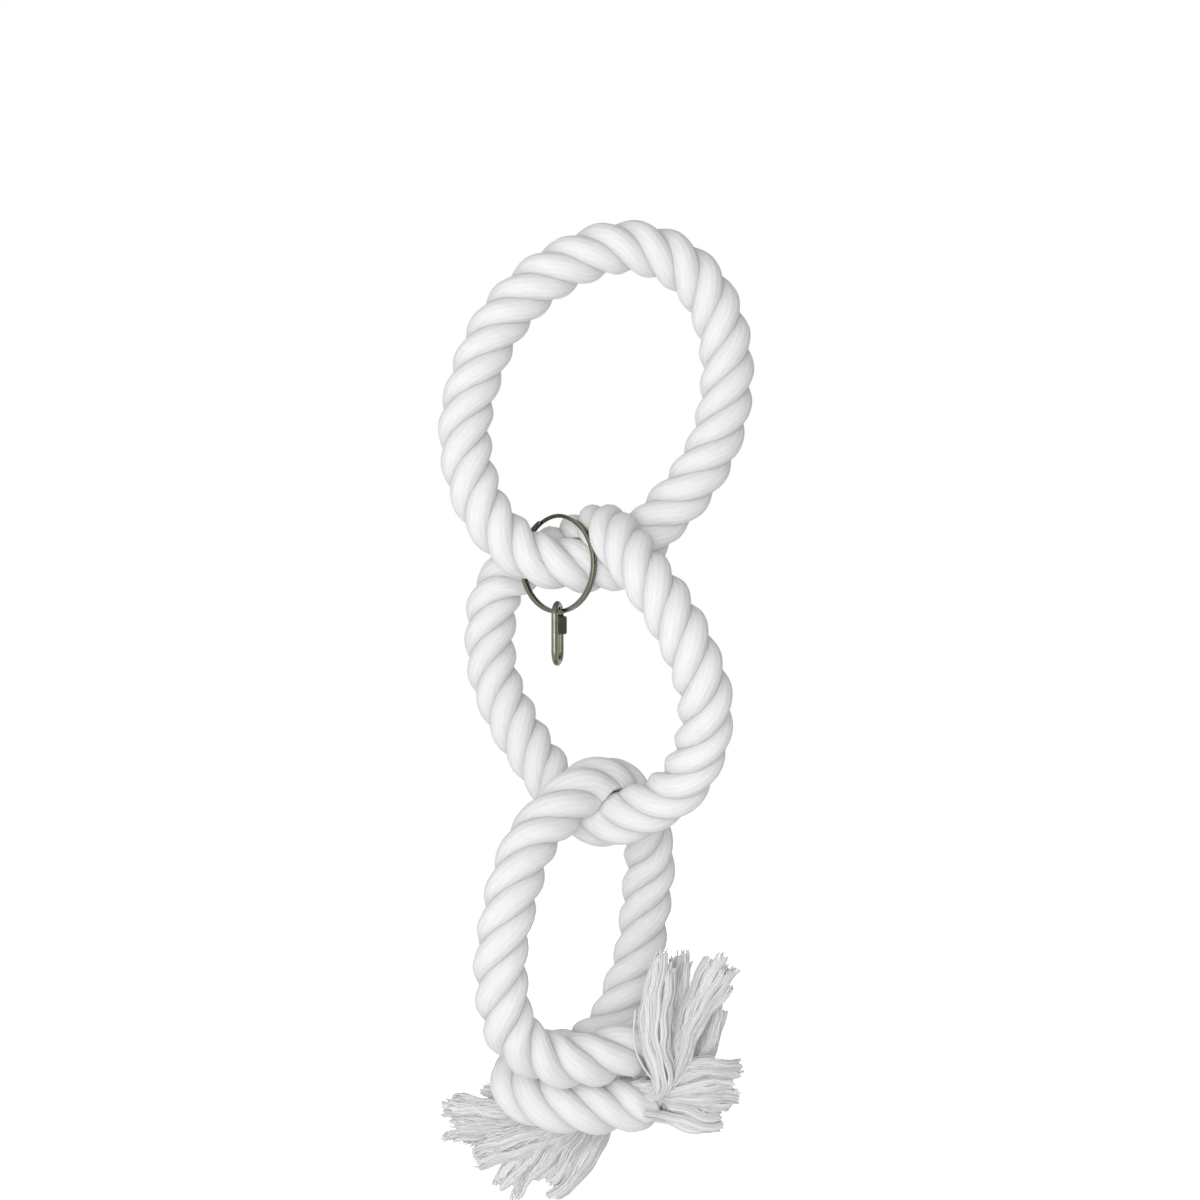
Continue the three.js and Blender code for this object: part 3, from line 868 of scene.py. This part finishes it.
class TOY_OT_bend_quick_link(bpy.types.Operator):
    """Bend the quick link's wire, with its threaded end"""
    bl_idname = "toy.bend_quick_link"
    bl_label = "Bend Quick Link"

    def execute(self, context):
        hardware = context.scene.toy_hardware
        wire = hardware.link_wire / 2
        bow = hardware.link_width / 2 - wire
        leg = hardware.link_length - hardware.link_width
        top_of_mouth = hardware.mouth_rise + hardware.mouth / 2
        foot_of_mouth = hardware.mouth_rise - hardware.mouth / 2
        bend = np.linspace(0, math.pi, 40)
        thread = np.arange(top_of_mouth, top_of_mouth + THREAD_LENGTH, THREAD_PITCH / 8)
        path = [(-bow, v) for v in thread]
        path += [(-bow * math.cos(a), leg / 2 + bow * math.sin(a)) for a in bend]
        path += [(bow, v) for v in np.linspace(leg / 2, -leg / 2, 12)[1:-1]]
        path += [(bow * math.cos(a), -leg / 2 - bow * math.sin(a)) for a in bend]
        path += [(-bow, v) for v in np.linspace(-leg / 2, foot_of_mouth, 12)[1:]]
        flat = np.array([(0, u, v) for u, v in path])
        along = unit(np.gradient(flat, axis=0))
        face = np.array([1.0, 0.0, 0.0])
        side = np.cross(along, face)
        corner = np.linspace(0, TURN, 24, endpoint=False)
        places = np.empty((len(flat), len(corner), 3))
        for i, point in enumerate(flat):
            size = np.full(len(corner), wire)
            if i < len(thread):
                cut = np.cos(TURN * (thread[i] - top_of_mouth) / THREAD_PITCH + corner)
                size = wire - THREAD_DEPTH * (1 - cut) / 2
            if i in (0, len(flat) - 1):
                size = size - WIRE_CHAMFER
            ring = face * np.cos(corner)[:, None] + side[i] * np.sin(corner)[:, None]
            places[i] = point + ring * size[:, None]
        yaw = np.array(Matrix.Rotation(hardware.link_yaw, 3, "Z"))
        low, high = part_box("quick_link")
        middle = np.array((low + high) / 2)
        turned = places @ yaw.T
        turned = turned + middle - (turned.min(axis=(0, 1)) + turned.max(axis=(0, 1))) / 2
        piece = wrap_grid("quick_link_wire", turned)
        nickel = nickel_plate("Nickel-plated quick link", hardware.nickel, 0.25)
        finish_piece(piece, nickel, "quick_link", "nickel_plated_steel", "quick_link")
        return {"FINISHED"}


# The sleeve nut's bore chamfer, the height of its turned-down corners and the share of its flats where they
# start, and where its straight sides start.
NUT_LIP = 0.25 * MM
NUT_CHAMFER = 0.9 * MM
NUT_FACE = 0.97
NUT_SHOULDER = 1.2 * MM


class TOY_OT_turn_sleeve_nut(bpy.types.Operator):
    """Turn the six-sided sleeve nut, with chamfered corners at both ends and a round bore"""
    bl_idname = "toy.turn_sleeve_nut"
    bl_label = "Turn Sleeve Nut"

    def execute(self, context):
        hardware = context.scene.toy_hardware
        half = hardware.nut_length / 2
        bore = hardware.link_wire / 2 + hardware.nut_clearance
        flat = hardware.nut_flats / 2
        point = flat / math.cos(math.pi / 6)
        face = flat * NUT_FACE
        outline = [(bore + NUT_LIP, half)]
        outline += [(face + (point - face) * k / 6, half - NUT_CHAMFER * k / 6) for k in range(7)]
        end = len(outline)
        outline += [(point, v) for v in np.linspace(half - NUT_SHOULDER, NUT_SHOULDER - half, 10)]
        outline += [(r, -v) for r, v in reversed(outline[:end])]
        outline += [(bore, v) for v in (NUT_LIP - half, -half / 2, 0, half / 2, half - NUT_LIP)]
        corner = np.linspace(0, TURN, 96, endpoint=False)
        limit = flat / np.cos((corner % (TURN / 6)) - TURN / 12)
        low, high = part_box("sleeve_nut")
        middle = np.array((low + high) / 2)
        yaw = hardware.link_yaw
        places = np.empty((len(outline), len(corner), 3))
        for i, (radius, height) in enumerate(outline):
            size = np.minimum(radius, limit)
            places[i] = middle + np.stack([size * np.cos(corner + yaw), size * np.sin(corner + yaw),
                                           np.full(len(corner), height)], axis=1)
        piece = wrap_grid("sleeve_nut_turned", places, closed=True)
        for polygon in piece.data.polygons:
            polygon.use_smooth = False
        steel = nickel_plate("Dark nickel-plated sleeve nut", hardware.dark_nickel, 0.3)
        finish_piece(piece, steel, "sleeve_nut", "sleeve_nut_steel", "sleeve_nut")
        return {"FINISHED"}


# Side of each square softbox, and the point that the softboxes face.
SOFTBOX = 0.8
TOY_MIDDLE = (-0.01, 0, -0.2)


class TOY_OT_set_stage(bpy.types.Operator):
    """Set the camera, the soft lights and the white paper backdrop"""
    bl_idname = "toy.set_stage"
    bl_label = "Set Stage"

    def execute(self, context):
        scene = context.scene
        stage = scene.toy_stage
        lens = bpy.data.cameras.new("Photo camera")
        lens.angle = stage.view_angle
        lens.clip_end = 20
        camera = add_object("Photo camera", lens)
        camera.location = stage.eye
        camera.rotation_euler = (math.pi / 2, 0, 0)
        scene.camera = camera
        self.add_lamp("Front softbox", stage.key, (-0.2, -1.4, -0.1))
        self.add_lamp("Left softbox", stage.fill, (-1.1, -0.8, 0.1))
        self.add_lamp("Back softbox", stage.back, (0, 1.4, -0.15))
        paper = backdrop_paper(stage.paper)
        builder = bmesh.new()
        bmesh.ops.create_grid(builder, x_segments=1, y_segments=1, size=4.0,
                              matrix=Matrix.Translation((0, 0, -stage.floor_drop)))
        mesh = bpy.data.meshes.new("Paper floor")
        builder.to_mesh(mesh)
        builder.free()
        floor = add_object("Paper floor", mesh)
        mesh.materials.append(paper)
        world = bpy.data.worlds.new("White studio")
        scene.world = world
        world.use_nodes = True
        tree = world.node_tree
        tree.nodes.clear()
        level = add_node(tree, "ShaderNodeMapRange", {"Value": seen_rays(tree), "To Min": stage.ambient})
        sky = add_node(tree, "ShaderNodeBackground",
                       {"Color": opaque(stage.paper), "Strength": level.outputs["Result"]})
        add_node(tree, "ShaderNodeOutputWorld", {"Surface": sky.outputs["Background"]})
        scene.view_settings.view_transform = "Standard"
        return {"FINISHED"}

    def add_lamp(self, name, power, place):
        """A square soft light that points at the middle of the toy."""
        data = bpy.data.lights.new(name, "AREA")
        data.energy = power
        data.size = SOFTBOX
        lamp = add_object(name, data)
        lamp.location = place
        lamp.visible_camera = False
        lamp.rotation_euler = (Vector(TOY_MIDDLE) - lamp.location).to_track_quat("-Z", "Y").to_euler()


class TOY_PT_rope_toy(bpy.types.Panel):
    """Steps and sizes of the rope toy"""
    bl_label = "Rope Toy"
    bl_idname = "TOY_PT_rope_toy"
    bl_space_type = "VIEW_3D"
    bl_region_type = "UI"
    bl_category = "Rope Toy"

    def draw(self, context):
        for operator in OPERATORS:
            self.layout.operator(operator.bl_idname)
        for group in SETTINGS:
            settings = getattr(context.scene, group)
            box = self.layout.box()
            for name in settings.bl_rna.properties.keys():
                if name not in ("rna_type", "name"):
                    box.prop(settings, name)


OPERATORS = (TOY_OT_set_stage, TOY_OT_lay_rope, TOY_OT_fray_ends, TOY_OT_coil_split_ring,
             TOY_OT_bend_quick_link, TOY_OT_turn_sleeve_nut)
SETTINGS = {"toy_rope": RopeSettings, "toy_fray": FraySettings, "toy_hardware": HardwareSettings,
            "toy_stage": StageSettings}


def register():
    for group in SETTINGS.values():
        bpy.utils.register_class(group)
    for name, group in SETTINGS.items():
        setattr(bpy.types.Scene, name, PointerProperty(type=group))
    for operator in OPERATORS:
        bpy.utils.register_class(operator)
    bpy.utils.register_class(TOY_PT_rope_toy)


def unregister():
    bpy.utils.unregister_class(TOY_PT_rope_toy)
    for operator in reversed(OPERATORS):
        bpy.utils.unregister_class(operator)
    for name, group in SETTINGS.items():
        delattr(bpy.types.Scene, name)
        bpy.utils.unregister_class(group)


def main():
    register()
    bpy.ops.toy.set_stage()
    bpy.ops.toy.lay_rope()
    bpy.ops.toy.fray_ends()
    bpy.ops.toy.coil_split_ring()
    bpy.ops.toy.bend_quick_link()
    bpy.ops.toy.turn_sleeve_nut()


if __name__ == "__main__":
    main()
